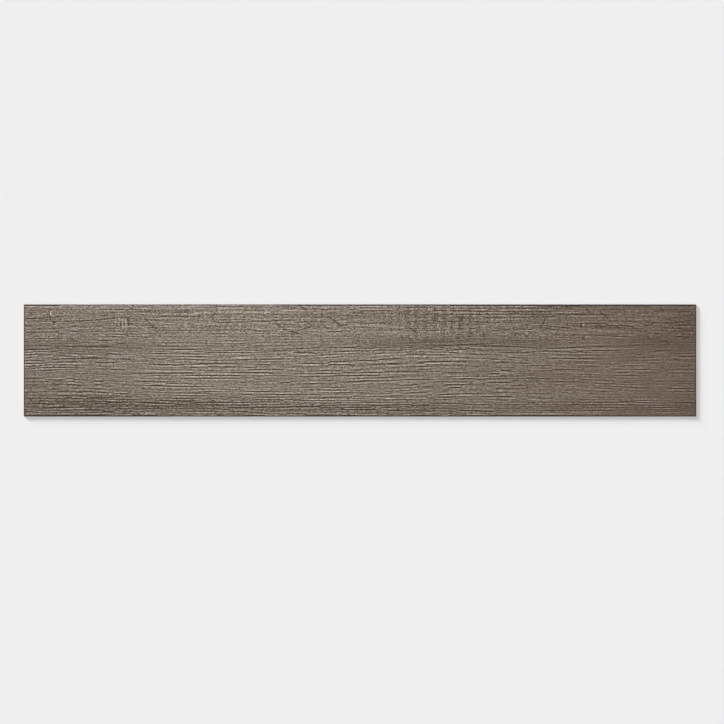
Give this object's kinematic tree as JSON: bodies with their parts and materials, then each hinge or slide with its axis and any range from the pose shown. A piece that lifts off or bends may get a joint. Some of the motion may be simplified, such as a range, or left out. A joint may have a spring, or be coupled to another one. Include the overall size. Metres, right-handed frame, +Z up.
{
  "type": "peel and stick vinyl plank",
  "caption": "Thin rectangular wood-look vinyl floor plank, self-adhesive underneath, lying face up on its flush release paper.",
  "frame": {"origin": "middle of the release paper's underside, on the plane that the plank lies on", "axes": "+X along the plank and its grain, +Y across its width, +Z up out of the printed face"},
  "size_m": [0.9144, 0.1524, 0.0016],
  "materials": {
    "vinyl": "satin, wood grain embossed in the face",
    "paper": "smooth, silicone coated"
  },
  "bodies": {
    "root": {"vinyl_plank": "vinyl", "release_paper": "paper"}
  },
  "joints": []
}
